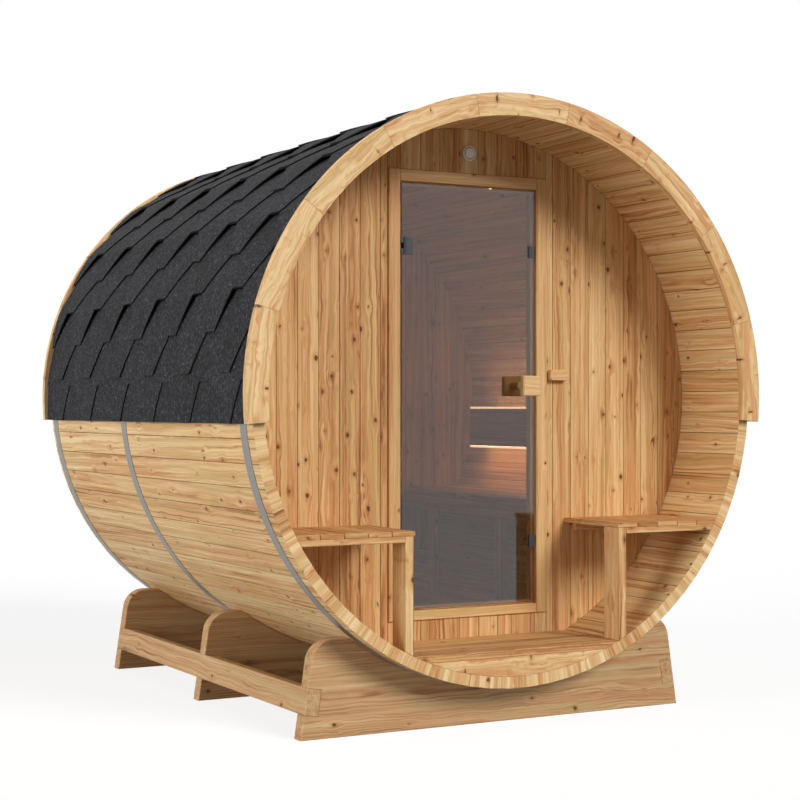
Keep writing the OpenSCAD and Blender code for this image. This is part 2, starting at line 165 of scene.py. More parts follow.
class Solids:
    """Gathers small closed solids into one mesh, with the wood coordinates, tone and seam of each. Points are
    millimetres, with heights from the barrel's middle."""

    def __init__(self):
        self.points, self.faces = [], []
        self.grain, self.tone, self.seam = [], [], []

    def add(self, points, faces, wood, seams, end_wood=None, end_faces=()):
        """Adds one solid. The faces numbered in end_faces take their grain from end_wood."""
        first = len(self.points)
        self.points += points
        plain = [wood.at(p) for p in points]
        ends = [end_wood.at(p) for p in points] if end_wood else plain
        for n, face in enumerate(faces):
            self.faces.append([first + i for i in face])
            self.grain += [(ends if n in end_faces else plain)[i] for i in face]
        self.tone += [wood.tone] * len(faces)
        self.seam += seams

    def make(self, name, material, slot, node, body="root"):
        """Makes the object, puts it on its body and lets it stand for its CAD node."""
        mesh = bpy.data.meshes.new(name)
        mesh.from_pydata([(x * MM, y * MM, (z + AXIS_Z) * MM) for x, y, z in self.points], [], self.faces)
        grain = mesh.attributes.new("grain", "FLOAT_VECTOR", "CORNER")
        grain.data.foreach_set("vector", [c for g in self.grain for c in g])
        for label, values in (("tone", self.tone), ("seam", self.seam)):
            mesh.attributes.new(label, "FLOAT", "FACE").data.foreach_set("value", values)
        mesh.materials.append(finish(material))
        mesh.update()
        piece = bpy.data.objects.new(name, mesh)
        bpy.context.scene.collection.objects.link(piece)
        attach(piece, body)
        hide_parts(node)


class Wood:
    """Where a board lay in its log: which way its fibres run and where the pith was."""

    def __init__(self, draw, origin, along, across, spread=1.0):
        self.draw = draw
        self.origin = Vector(origin)
        self.along = Vector(along).normalized()
        self.across = Vector(across).normalized()
        self.depth = self.along.cross(self.across)
        self.start = draw.uniform(0, 40)
        self.lean = draw.uniform(-0.022, 0.022)
        self.pith = (draw.uniform(-45, 45), draw.choice((-1, 1)) * draw.uniform(28, 95))
        self.tone = max(-1.0, min(1.0, draw.gauss(0, 0.5))) * spread

    def turned_to(self, along, across):
        """The streaks of the same board's cut end, which run another way."""
        return Wood(self.draw, self.origin, along, across)

    def at(self, point):
        """Wood coordinates in metres of a point in millimetres."""
        p = Vector(point) - self.origin
        run = p.dot(self.along)
        return (
            run * MM + self.start,
            (p.dot(self.across) + self.pith[0] + run * self.lean) * MM,
            (p.dot(self.depth) + self.pith[1]) * MM,
        )


def turned(outline):
    """The outline with its points in anticlockwise order."""
    pairs = zip([outline[-1], *outline], outline)
    return outline if sum(a[0] * b[1] - b[0] * a[1] for a, b in pairs) > 0 else outline[::-1]


def corners_of(outline):
    """Each point of a closed outline, with the edges that lead to it and away from it."""
    points = [Vector(p) for p in outline]
    return [(p, p - points[i - 1], points[(i + 1) % len(points)] - p) for i, p in enumerate(points)]


def inset(outline, by):
    """The outline moved in by the same distance all round."""
    out = []
    for here, a, b in corners_of(outline):
        a, b = a.normalized(), b.normalized()
        na, nb = Vector((-a.y, a.x)), Vector((-b.y, b.x))
        mitre = (na + nb) / max(0.3, 1 + na.dot(nb))
        out.append(tuple(here + mitre * by))
    return out


def cut_corners(outline, by, sharp=25):
    """The outline with a flat on each corner that turns by more than sharp, and which edges are flats."""
    points, flats = [], []
    for here, a, b in corners_of(outline):
        if math.degrees(a.angle(b)) < sharp:
            points.append(tuple(here))
            flats.append(False)
            continue
        back, on = (min(by, edge.length * 0.45) for edge in (a, b))
        points += [tuple(here - a.normalized() * back), tuple(here + b.normalized() * on)]
        flats += [True, False]
    return points, flats


# How nearly an edge runs along a direction to count as lying along it
ALONG_JOINT = 0.9


def prism(
    solids, outline, start, end, wood, bevel, run=Y, seam=0.0, joints=None, corners=True, end_bevel=None,
    end_wood=None,
):
    """A bevelled board: an outline carried along one axis. Its edges along the direction joints meet the next
    board and are dark, and its bevels are as dark as seam says."""
    end_bevel = bevel if end_bevel is None else end_bevel
    shape = turned(list(outline))
    flats = [False] * len(shape)
    if corners:
        shape, flats = cut_corners(shape, bevel)
    small = inset(shape, end_bevel)
    rings = ((small, start), (shape, start + end_bevel), (shape, end - end_bevel), (small, end))
    points = [(*p[:run], place, *p[run:]) for ring, place in rings for p in ring]
    count = len(shape)
    faces, seams = [], []
    for k in range(3):
        for i in range(count):
            j = (i + 1) % count
            faces.append([k * count + i, k * count + j, (k + 1) * count + j, (k + 1) * count + i])
            way = (Vector(shape[j]) - Vector(shape[i])).normalized()
            on_bevel = flats[i] if k == 1 else not end_wood
            if k == 1 and not flats[i] and joints is not None and abs(way.dot(joints)) > ALONG_JOINT:
                seams.append(1.0)
            else:
                seams.append(seam if on_bevel else 0.0)
    faces += [list(range(count))[::-1], [3 * count + i for i in range(count)]]
    seams += [0.0, 0.0]
    if run == Y:
        faces = [f[::-1] for f in faces]
    ends = {*range(count), *range(2 * count, len(faces))}
    solids.add(points, faces, wood, seams, end_wood, ends)


def clip_line(outline, nx, ny, limit):
    """Keeps what lies at or under limit along the direction (nx, ny)."""
    over = [x * nx + y * ny - limit for x, y in outline]
    inside = [value <= 1e-9 for value in over]
    out = []
    for i, (x, y) in enumerate(outline):
        if inside[i - 1] != inside[i]:
            px, py = outline[i - 1]
            t = over[i - 1] / (over[i - 1] - over[i])
            out.append((px + (x - px) * t, py + (y - py) * t))
        if inside[i]:
            out.append((x, y))
    return out


def clip_barrel(outline):
    """Keeps what lies inside the staves."""
    flat = LINING_R * math.cos(math.radians(STAVE_STEP / 2))
    for i in range(STAVE_COUNT):
        a = math.radians(90 + (i + 0.5) * STAVE_STEP)
        outline = clip_line(outline, math.cos(a), math.sin(a), flat)
        if len(outline) < 3:
            return []
    return thinned(outline, 0.6)


def thinned(outline, least):
    """Drops points that lie closer together than a bevel can follow."""
    out = []
    for p in outline:
        if not out or math.dist(p, out[-1]) > least:
            out.append(p)
    while len(out) > 2 and math.dist(out[0], out[-1]) <= least:
        out.pop()
    return out


def rect(x0, x1, z0, z1):
    """The outline of a rectangle."""
    return [(x0, z0), (x1, z0), (x1, z1), (x0, z1)]


def polar(r, degrees):
    """A point at a radius and an angle."""
    a = math.radians(degrees)
    return (r * math.cos(a), r * math.sin(a))


ALONG_X, ALONG_Y, UPRIGHT = AXES = (1, 0, 0), (0, 1, 0), (0, 0, 1)
# A limit outside the barrel, for what is cut off at the staves
BEYOND = 1000


def fitted(solids, draw, x, y, z, middle, along, across, bevel, ends=None, **more):
    """A board between two limits on each axis, cut off where it meets the staves."""
    outline = clip_barrel(rect(*x, *z))
    if len(outline) > 2:
        wood = Wood(draw, middle, along, across)
        prism(solids, outline, *y, wood, bevel, end_wood=wood.turned_to(*ends) if ends else None, **more)


def beam(solids, draw, lowest, highest, run, bevel):
    """A squared timber between two corners, with its fibres along one axis."""
    middle = [(a + b) / 2 for a, b in zip(lowest, highest)]
    i, j = [k for k in (X, Y, Z) if k != run]
    wood = Wood(draw, middle, AXES[run], UPRIGHT if run == X else ALONG_X)
    outline = rect(lowest[i], highest[i], lowest[j], highest[j])
    prism(solids, outline, lowest[run], highest[run], wood, bevel, run)


def on_side(side, a, b):
    """Two distances from the barrel's middle as limits along X, on its left (-1) or right (1) side."""
    return sorted((side * a, side * b))


def maker(name):
    """A random source of its own for each piece, so that one piece's change leaves the others as they are."""
    return random.Random(f"{bpy.context.scene.sauna_sizes.seed} {name}")


# ------------------------------------------------------------- materials


def node(tree, kind, inputs=(), out=0, **settings):
    """Adds a node. Inputs are values or the sockets that feed them, in the node's order or by number or name.
    Settings are its own properties. Gives the output asked for, or the node itself if out is None."""
    made = tree.nodes.new(f"ShaderNode{kind}")
    for name, value in settings.items():
        setattr(made, name, value)
    for place, value in inputs.items() if isinstance(inputs, dict) else enumerate(inputs):
        if isinstance(value, bpy.types.NodeSocket):
            tree.links.new(value, made.inputs[place])
        else:
            made.inputs[place].default_value = value
    return made if out is None else made.outputs[out]


def per_mm(mm):
    """The texture scale at which one unit of a pattern is this many millimetres."""
    return 1 / (mm * MM)


# A colour mix, whose factor is input 0, whose colours are 6 and 7, and whose result is output 2
COLOURS = {"data_type": "RGBA", "out": 2}


def pine(
    add, palette, knots, depth_of_colour=0.40, gloss=0.55, swing=1.0, wave=1.0, bold=1.0, weathered=0.0,
    knot_shape=(0.72, 1.0), ruddy=0.30,
):
    """Planed pine, left plain. The eye gets pale and reddish streaks a centimetre or two wide, thin dark late
    wood lines, small brown knots with fibres that bend round them, and boards that differ from each other."""
    grain = add("Attribute", out="Vector", attribute_name="grain")
    tone = add("Attribute", out="Fac", attribute_name="tone")
    seam = add("Attribute", out="Fac", attribute_name="seam")

    def streaks(source, long, wide, detail, rough=0.5, out=0):
        """Noise drawn out along the fibres, with its size in millimetres."""
        drawn = add("VectorMath", (source, (per_mm(long), per_mm(wide), per_mm(wide))), operation="MULTIPLY")
        return add("TexNoise", {"Vector": drawn, "Scale": 1.0, "Detail": detail, "Roughness": rough}, out)

    # Knots: one chance in every cell of a board, 6 to 16 mm across
    cell = (150, 60, 240)
    chosen = 1 - 0.36 * knots
    placed = add("VectorMath", (grain, [per_mm(mm) for mm in cell]), operation="MULTIPLY")
    cells = add("TexVoronoi", {"Vector": placed, "Scale": 1.0, "Randomness": 0.95}, None)
    from_knot = add("VectorMath", (placed, cells.outputs["Position"]), operation="SUBTRACT")
    squash = [mm * MM * share for mm, share in zip(cell, (*knot_shape, 0.05))]
    from_knot = add("VectorMath", (from_knot, squash), operation="MULTIPLY")
    uneven = streaks(grain, 9, 9, 1.0, out="Color")
    uneven = add("VectorMath", (uneven, (0.5, 0.5, 0.5)), operation="SUBTRACT")
    ragged = add("VectorMath", (uneven, (0.006, 0.006, 0.0), from_knot), operation="MULTIPLY_ADD")
    reach = add("VectorMath", (ragged,), "Value", operation="LENGTH")
    chance = add("SeparateColor", (cells.outputs["Color"],))
    there = add("Math", (chance, chosen), operation="GREATER_THAN")
    knot_r = add("MapRange", (chance, chosen, 1.0, 0.0030, 0.0080))
    ratio = add("Math", (reach, knot_r), operation="DIVIDE")
    pull_r = add("Math", (knot_r, 0.006), operation="ADD")
    pull_ratio = add("Math", (reach, pull_r), operation="DIVIDE")
    heart, knot, halo, pull = (
        add("MapRange", (away, near, far, 1.0, 0.0), interpolation_type="SMOOTHSTEP")
        for away, near, far in (
            (ratio, 0.4, 1.0), (ratio, 0.65, 1.15), (ratio, 0.9, 2.6), (pull_ratio, 0.5, 3.2),
        )
    )
    knot, halo, pull = (add("Math", (part, there), operation="MULTIPLY") for part in (knot, halo, pull))

    # Fibres wander a little, and part round each knot
    beside = add("SeparateXYZ", (from_knot,), 1)
    past = add("Math", (beside,), operation="ABSOLUTE")
    past = add("Math", (past, 0.003), operation="ADD")
    aside = add("Math", (beside, past), operation="DIVIDE")
    aside = add("Math", (aside, pull), operation="MULTIPLY")
    aside = add("Math", (aside, -0.007), operation="MULTIPLY")
    wander = add("Math", (streaks(grain, 240, 60, 2.0), 0.030 * wave, aside), operation="MULTIPLY_ADD")
    ripple = add("Math", (streaks(grain, 45, 30, 1.0), 0.006 * wave, wander), operation="MULTIPLY_ADD")
    deeper = add("Math", (wander, 0.5), operation="MULTIPLY")
    fibres = add("VectorMath", (grain, add("CombineXYZ", {1: ripple, 2: deeper})), operation="ADD")

    # Year rings cut lengthwise, drawn about twice as coarse as real ones so that they show
    radius = add("VectorMath", (fibres, (0, 1, 1)), operation="MULTIPLY")
    radius = add("VectorMath", (radius,), "Value", operation="LENGTH")
    ring = add("Math", (radius, math.tau * per_mm(7.5)), operation="MULTIPLY")
    ring = add("Math", (ring,), operation="SINE")
    ring = add("Math", (add("MapRange", (ring, -1, 1, 0, 1)), 2.2), operation="POWER")
    shown = add("MapRange", (streaks(grain, 700, 26, 1.0), 0.35, 0.65, 0.1, 1.0))
    ring = add("Math", (ring, shown), operation="MULTIPLY")

    bands = add("MapRange", (streaks(fibres, 1100, 17, 1.5, 0.55), 0.28, 0.72, -1.0, 1.0))
    lines = add("MapRange", (streaks(fibres, 460, 4.4, 2.0, 0.6), 0.28, 0.72, -1.0, 1.0))
    fine = add("MapRange", (streaks(fibres, 120, 1.7, 1.0), 0.3, 0.7, -1.0, 1.0))
    red = add("MapRange", (streaks(fibres, 640, 20, 1.0), 0.50, 0.66), interpolation_type="SMOOTHSTEP")
    green = add("MapRange", (streaks(grain, 800, 36, 1.0), 0.52, 0.68), interpolation_type="SMOOTHSTEP")

    depth = depth_of_colour
    for part, share in (
        (tone, 0.22 * swing), (bands, 0.20 * bold), (lines, 0.12 * bold), (fine, 0.05), (ring, 0.24 * bold),
        (halo, 0.16),
    ):
        depth = add("Math", (part, share, depth), operation="MULTIPLY_ADD")
    ramp = add("ValToRGB", (depth,), None)
    stops = (
        (0.0, palette.pine_pale), (0.3, palette.pine_light), (0.55, palette.pine_mid),
        (0.78, palette.pine_dark), (1.0, palette.pine_deep),
    )
    while len(ramp.color_ramp.elements) < len(stops):
        ramp.color_ramp.elements.new(0.5)
    for element, (place, shade) in zip(ramp.color_ramp.elements, stops):
        element.position = place
        element.color = shade
    base = ramp.outputs[0]
    core = add("Mix", {0: heart, 6: palette.pine_deep, 7: palette.knot}, **COLOURS)
    for part, share, shade in (
        (red, ruddy * bold, palette.pine_red),
        (green, 0.42, palette.pine_green),
        (1.0, weathered, linear("#8F7F6C")),
        (knot, 0.95, core),
        (seam, 0.8, linear("#5C381E")),
    ):
        cover = add("Math", (part, share), operation="MULTIPLY")
        base = add("Mix", {0: cover, 6: base, 7: shade}, **COLOURS)

    height = lines
    for part, share in ((ring, -0.6), (fine, 0.5), (knot, 0.8)):
        height = add("Math", (part, share, height), operation="MULTIPLY_ADD")
    return add("BsdfPrincipled", {
        "Base Color": base,
        "Roughness": add("MapRange", (lines, -1.0, 1.0, gloss - 0.06, gloss + 0.10)),
        "IOR": 1.45,
        "Specular IOR Level": 0.35,
        "Normal": add("Bump", {"Strength": 0.35, "Distance": 0.0003, "Height": height}),
    })


def slate_shingle(add, palette):
    """Bitumen shingle with crushed slate rolled in: dull charcoal, paler and bluer grains, black cut edges."""
    seam = add("Attribute", out="Fac", attribute_name="seam")
    tone = add("Attribute", out="Fac", attribute_name="tone")
    spot = add("NewGeometry", out="Position")
    # Granules drawn 5 mm across, three times as coarse as real ones so that they show
    grit = add("TexVoronoi", {"Vector": spot, "Scale": per_mm(5.0)}, None)
    level = add("SeparateColor", (grit.outputs["Color"],), None)
    clump = add("TexNoise", {"Vector": spot, "Scale": per_mm(14)})
    patch = add("TexNoise", {"Vector": spot, "Scale": per_mm(90)})
    base = tuple(palette.bitumen)
    dark, light = ((*(share * c for c in base[:3]), 1.0) for share in (0.40, 2.1))
    shade = add("MapRange", (clump, 0.3, 0.7, -0.5, 0.5))
    shade = add("Math", (shade, level.outputs[0]), operation="ADD")
    shade = add("Math", (tone, 0.12, shade), operation="MULTIPLY_ADD")
    ground = add("Mix", {0: add("MapRange", (shade, 0.0, 0.6)), 6: dark, 7: base}, **COLOURS)
    ground = add("Mix", {0: add("MapRange", (shade, 0.6, 1.2)), 6: ground, 7: light}, **COLOURS)
    spark = add("MapRange", (level.outputs[1], 0.94, 1.0, 0.0, 0.7))
    ground = add("Mix", {0: spark, 6: ground, 7: linear("#6A6A6E")}, **COLOURS)
    wear = add("MapRange", (patch, 0.35, 0.7, 0.85, 1.15))
    ground = add("VectorMath", {0: ground, "Scale": wear}, operation="SCALE")
    return add("BsdfPrincipled", {
        "Base Color": add("Mix", {0: seam, 6: ground, 7: palette.cut_bitumen}, **COLOURS),
        "Roughness": 0.92,
        "Specular IOR Level": 0.25,
        "Normal": add("Bump", {"Strength": 0.8, "Distance": 0.0012, "Height": grit.outputs["Distance"]}),
    })


def stainless_band(add, palette):
    """Cold-rolled stainless band: mid grey, drawn fine lines along its length, soft blurred highlights."""
    spot = add("NewGeometry", out="Position")
    lines = add("VectorMath", (spot, (per_mm(60), per_mm(1.2), per_mm(60))), operation="MULTIPLY")
    drawn = add("TexNoise", {"Vector": lines, "Scale": 1.0})
    rough = add("MapRange", (drawn, 0.3, 0.7, 0.36, 0.52))
    return add("BsdfPrincipled", {"Base Color": palette.steel, "Metallic": 1.0, "Roughness": rough})


def powder_coat(add, palette):
    """Powder-coated steel fittings: slate grey, faint orange peel, satin."""
    spot = add("NewGeometry", out="Position")
    peel = add("TexNoise", {"Vector": spot, "Scale": per_mm(1.5), "Detail": 1.0})
    normal = add("Bump", {"Strength": 0.2, "Distance": 0.0002, "Height": peel})
    return add("BsdfPrincipled", {"Base Color": palette.fitting, "Roughness": 0.42, "Normal": normal})


def bronze_glass(add, palette):
    """Toughened bronze float glass: smooth, browns what lies behind it, and mirrors the studio a little more
    than plain glass does, which is why its IOR is raised."""
    glass = add("BsdfPrincipled", {
        "Base Color": palette.glass, "Roughness": 0.0, "IOR": 1.7, "Transmission Weight": 1.0,
    })
    through = add("BsdfTransparent", (palette.glass,))
    return add("MixShader", (add("LightPath", out="Is Shadow Ray"), glass, through))


def vent_plastic(add, palette):
    """Injection-moulded plastic: off-white, fine mould texture, a dull sheen, with painted shade darkening the
    cap's groove and the side of its rim.
    """
    spot = add("NewGeometry", out="Position")
    mould = add("TexNoise", {"Vector": spot, "Scale": per_mm(0.8), "Detail": 1.0})
    seam = add("Attribute", out="Fac", attribute_name="seam")
    # The dark colour is painted shade in the cap's groove and on the side of its rim.
    base = add("Mix", {0: seam, 6: palette.vent, 7: linear("#3A3633")}, **COLOURS)
    normal = add("Bump", {"Strength": 0.15, "Distance": 0.0001, "Height": mould})
    return add("BsdfPrincipled", {"Base Color": base, "Roughness": 0.4, "Normal": normal})


def light_strip(add, palette):
    """Light strip in a profile that shines on the staves behind it: warm, and dim towards the room."""
    place = add("NewGeometry", out=None)
    diodes = {"Vector": place.outputs["Position"], "Scale": per_mm(20) / math.tau}
    beads = add("MapRange", (add("TexWave", diodes, "Fac", bands_direction="Y"), 0.0, 1.0, 0.85, 1.0))
    to_right = add("SeparateXYZ", (place.outputs["Normal"],))
    return add("BsdfPrincipled", {
        "Base Color": linear("#F3E6CF"),
        "Emission Color": add("VectorMath", {0: palette.light[:3], "Scale": beads}, operation="SCALE"),
        "Emission Strength": add("MapRange", (to_right, -0.6, -0.4, 2.2, 26.0)),
    })


def seen_directly(add):
    """One for what the camera, a mirror or a pane shows, nought for light that lands on something dull."""
    rays = add("LightPath", out=None)
    seen = rays.outputs["Is Camera Ray"]
    for other in ("Is Glossy Ray", "Is Transmission Ray"):
        seen = add("Math", (seen, rays.outputs[other]), operation="MAXIMUM")
    return seen


PAPER_BOUNCE = "#909090"
PAPER_GLOW = 1.15
PAPER_SHARE = 0.72


def studio_paper(add, palette):
    """Matt white paper: seen nearly white, keeps a faint shadow and throws little light back up."""
    seen = seen_directly(add)
    tint = add("Mix", {0: seen, 6: linear(PAPER_BOUNCE), 7: linear("#E8E8E8")}, **COLOURS)
    glow = add("Emission", {"Strength": PAPER_GLOW})
    share = add("Math", (seen, PAPER_SHARE), operation="MULTIPLY")
    return add("MixShader", (share, add("BsdfDiffuse", (tint,)), glow))


# Knots cut lengthwise, which show as short dark slivers across the grain
SPIKE_KNOT = (1.1, 0.42)

# Each finish: what it is called, what makes it, and how its pine differs from plain pine
FINISHES = {
    "stave": (
        "Planed pine stave", pine, dict(knots=1.1, depth_of_colour=0.32, swing=0.9, wave=0.55, bold=1.45)
    ),
    "arch": (
        "Planed pine arch",
        pine,
        dict(
            knots=2.7, depth_of_colour=0.36, swing=0.5, wave=2.4, bold=1.15, knot_shape=SPIKE_KNOT, ruddy=0.55
        ),
    ),
    "wall": ("Planed pine panelling", pine, dict(knots=1.8, depth_of_colour=0.56, swing=0.9, bold=1.05)),
    "floor": (
        "Planed pine decking", pine, dict(knots=0.8, depth_of_colour=0.6, gloss=0.6, swing=0.8, bold=1.2)
    ),
    "frame": (
        "Planed pine door frame", pine, dict(knots=0.7, depth_of_colour=0.48, gloss=0.5, swing=0.4, bold=0.8)
    ),
    # Bench boards take darker wood than the porch bench legs and rails, as painted shade on the seat tops; the
    # paler leg wood stands for their lit front faces.
    "bench": ("Planed pine bench board", pine, dict(knots=1.5, depth_of_colour=0.68, swing=0.8, bold=1.2)),
    "leg": ("Planed pine bench timber", pine, dict(knots=2.2, depth_of_colour=0.48, swing=0.6, bold=1.1)),
    "cradle": (
        "Sawn pine cradle",
        pine,
        dict(knots=1.0, depth_of_colour=0.52, gloss=0.65, swing=0.4, bold=1.2, weathered=0.3),
    ),
    "handle": ("Sanded pine handle", pine, dict(knots=0.3, gloss=0.5, swing=0.3, bold=0.6)),
    "shingle": ("Slate-faced bitumen shingle", slate_shingle, {}),
    "steel": ("Cold-rolled stainless band", stainless_band, {}),
    "powder": ("Slate powder-coated steel", powder_coat, {}),
    "glass": ("Bronze toughened glass", bronze_glass, {}),
    "vent": ("Moulded polypropylene", vent_plastic, {}),
    "light": ("Warm silicone light strip", light_strip, {}),
    "paper": ("Matt studio paper", studio_paper, {}),
}


def finish(name):
    """The material of a finish, made when it is first asked for."""
    label, make, settings = FINISHES[name]
    material = bpy.data.materials.get(label)
    if not material:
        material = bpy.data.materials.new(label)
        material.use_nodes = True
        tree = material.node_tree
        tree.nodes.clear()
        add = partial(node, tree)
        shader = make(add, bpy.context.scene.sauna_colours, **settings)
        add("OutputMaterial", (shader,), None)
    return material


def refinish(name, finish_name):
    """Gives a kept CAD node its finish."""
    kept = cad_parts[name]
    kept.data.materials.clear()
    kept.data.materials.append(finish(finish_name))
    return kept


# ------------------------------------------------------------- barrel


class SAUNA_OT_staves(Operator):
    """Build the seventy-seven staves, in the frame's eleven groups"""

    bl_idname = "sauna.staves"
    bl_label = "Staves"

    def execute(self, context):
        groove = context.scene.sauna_sizes.groove / MM
        slack = math.degrees(GAP / 2 / INNER_R)
        for k in range(STAVE_GROUPS):
            draw = maker(f"staves {k}")
            solids = Solids()
            for i in range(k * STAVES_PER_GROUP, (k + 1) * STAVES_PER_GROUP):
                a0 = 90 + i * STAVE_STEP + slack
                a1 = 90 + (i + 1) * STAVE_STEP - slack
                outline = [polar(INNER_R, a0), polar(CORNER_R, a0), polar(CORNER_R, a1), polar(INNER_R, a1)]
                x, z = polar((INNER_R + CORNER_R) / 2, (a0 + a1) / 2)
                out = Vector(polar(1, (a0 + a1) / 2))
                across = (-out.y, 0, out.x)
                wood = Wood(draw, (x, 0, z), ALONG_Y, across)
                prism(
                    solids, outline, PORCH_END, BACK_END, wood, groove, seam=0.95, joints=out, end_bevel=0.4,
                    end_wood=wood.turned_to((out.x, 0, out.y), across),
                )
            name = f"staves_{k + 1:02d}"
            solids.make(f"{name}_boards", "stave", "stave_pine", name)
        return {"FINISHED"}


HOOP_W = 48
HOOP_T = 1.5
HOOP_EDGE = 0.5
HOOP_PLACES = (-921, 152, 948)


class SAUNA_OT_hoops(Operator):
    """Build the three steel hoops"""

    bl_idname = "sauna.hoops"
    bl_label = "Hoops"

    def execute(self, context):
        solids = Solids()
        wood = Wood(maker("hoops"), (0, 0, 0), ALONG_Y, ALONG_X)
        steps = 288
        half, top = HOOP_W / 2, DECK_R + HOOP_T
        left = [(DECK_R, -half), (top - HOOP_EDGE, -half), (top, -half + HOOP_EDGE)]
        profile = left + [(r, -off) for r, off in reversed(left)]
        count = len(profile)
        for y in HOOP_PLACES:
            points, faces = [], []
            for s in range(steps):
                t = (s + 1) % steps
                for i, (r, off) in enumerate(profile):
                    j = (i + 1) % count
                    x, z = polar(r, 360 * s / steps)
                    points.append((x, y + off, z))
                    faces.append([s * count + i, t * count + i, t * count + j, s * count + j])
            solids.add(points, faces, wood, [0.0] * len(faces))
        solids.make("hoops_steel", "steel", "hoop_steel", "hoops")
        return {"FINISHED"}


def sheet(solids, cells, spots, thick, wood):
    """A sheet of even thickness over some cells of a grid. Spots gives each corner's arc, place along the
    barrel and underside height; its underside and its rim are dark."""
    keys = sorted({k for c in cells for k in c})
    number = {k: i for i, k in enumerate(keys)}
    count = len(keys)
    points = []
    for lift in (0, thick):
        for angle, y, height in (spots[k] for k in keys):
            x, z = polar(DECK_R + height + lift, angle)
            points.append((x, y, z))
    faces, seams = [], []
    edges = set()
    for c in cells:
        ids = [number[k] for k in c]
        faces += [[i + count for i in ids], ids[::-1]]
        seams += [0.0, 1.0]
        edges |= set(zip(ids, ids[1:] + ids[:1]))
    for a, b in sorted(edges):
        if (b, a) not in edges:
            faces.append([a, b, b + count, a + count])
            seams.append(1.0)
    solids.add(points, faces, wood, seams)


ROOF_ARC = math.radians(90 + EDGE_ANGLE) * DECK_R
TO_RIDGE = ROOF_ARC - 0.4
DEGREES_PER_MM = math.degrees(1 / DECK_R)
# How far the shingles lie over the felt, and a course's hidden top over that
SHINGLE_BED = 0.2
TOP_H = 0.4
# How much longer the first course is, and how far the second stands off it at its tab ends
FIRST_EXTRA = 25
SECOND_OFF = 1.6
# How far a course stands off at its notches: least, along the ridge, and where its lift is small
LEAST_OFF, FLAT_OFF, SMALL_LIFT = 0.8, 1.2, 0.3
# How far a shingle runs on under the next course, as a share of the reveal
HIDDEN = 1.2
# Half a tab's width at its end and at the notch beside it, as shares of the pitch
END_HALF, NOTCH_HALF = 0.125, 0.375
VISIBLE_ROWS, HIDDEN_ROWS = 5, 4
# Where a tab of the plain and of the shifted courses is centred along the barrel
TAB_PLACES = (-826, -984)
STARTER_ROWS = 6
# How far the starter strip reaches up, in reveals
STARTER_REACH = 1.4
FELT_ROWS = 40
# The felt: its thickness away from its edge as a share of that at the edge, and how far up its edge and how
# far down from the ridge it tapers
FELT_SINGLE = 0.3
FELT_DOUBLED = 260
FELT_TAPER = 220
# The ridge caps: how far one reaches down each side, how much of it shows, how far it runs on under the next
# one, and how high its two ends lie
CAP_HALF = 150
CAP_IN_SIGHT = 142
CAP_LAP = 60
CAP_FRONT_H, CAP_BACK_H = 18.6, 14.8
CAP_COLUMNS = 16


def on_roof(s, side):
    """The angle of a place on the roof, a distance up from its right (1) or left (-1) edge."""
    from_right = -EDGE_ANGLE + s * DEGREES_PER_MM
    return from_right if side > 0 else 180 - from_right


def felt_height(s, edge_t):
    """How thick the felt lies at a distance up from the roof's edge."""
    body = edge_t * FELT_SINGLE
    if s < FELT_DOUBLED:
        return body + (edge_t - body) * (1 - s / FELT_DOUBLED)
    return body * min(1, (ROOF_ARC - s) / FELT_TAPER)


def felt(solids, side, edge_t, wood):
    """The felt of one side: a closed slab from the roof's lower edge to the ridge, whose cut edge is dark."""
    points, faces = [], []
    for r in range(FELT_ROWS + 1):
        s = TO_RIDGE * r / FELT_ROWS
        for height in (0.1, 0.1 + felt_height(s, edge_t)):
            x, z = polar(DECK_R + height, on_roof(s, side))
            points += [(x, PORCH_END, z), (x, BACK_END, z)]
    last = 4 * FELT_ROWS
    for a in range(0, last, 4):
        b = a + 4
        for i, j in ((2, 3), (1, 0), (0, 2), (3, 1)):
            faces.append([a + i, a + j, b + j, b + i])
    faces += [[0, 1, 3, 2], [last + 2, last + 3, last + 1, last]]
    solids.add(points, [f[::-side] for f in faces], wood, [1.0] * len(faces))


def shingle_courses(reveal, thick, lift):
    """Where each course starts up from the roof's edge, whether its tabs are shifted, and the heights of its
    underside at the tab ends and at the notches."""
    courses = [(0, False, thick + GAP, thick + GAP)]
    courses.append((reveal + FIRST_EXTRA, False, 2 * (thick + GAP) + SECOND_OFF, thick + FLAT_OFF))
    below = 2 * thick + FLAT_OFF
    start = courses[-1][0] + reveal
    while start < ROOF_ARC - reveal:
        shifted = len(courses) % 2 == 0
        rise = LEAST_OFF + lift * (1 if shifted else SMALL_LIFT)
        if start > ROOF_ARC - 2 * reveal:
            rise = FLAT_OFF
        courses.append((start, shifted, below + GAP, thick + rise))
        below = 2 * thick + rise
        start += reveal
    return courses


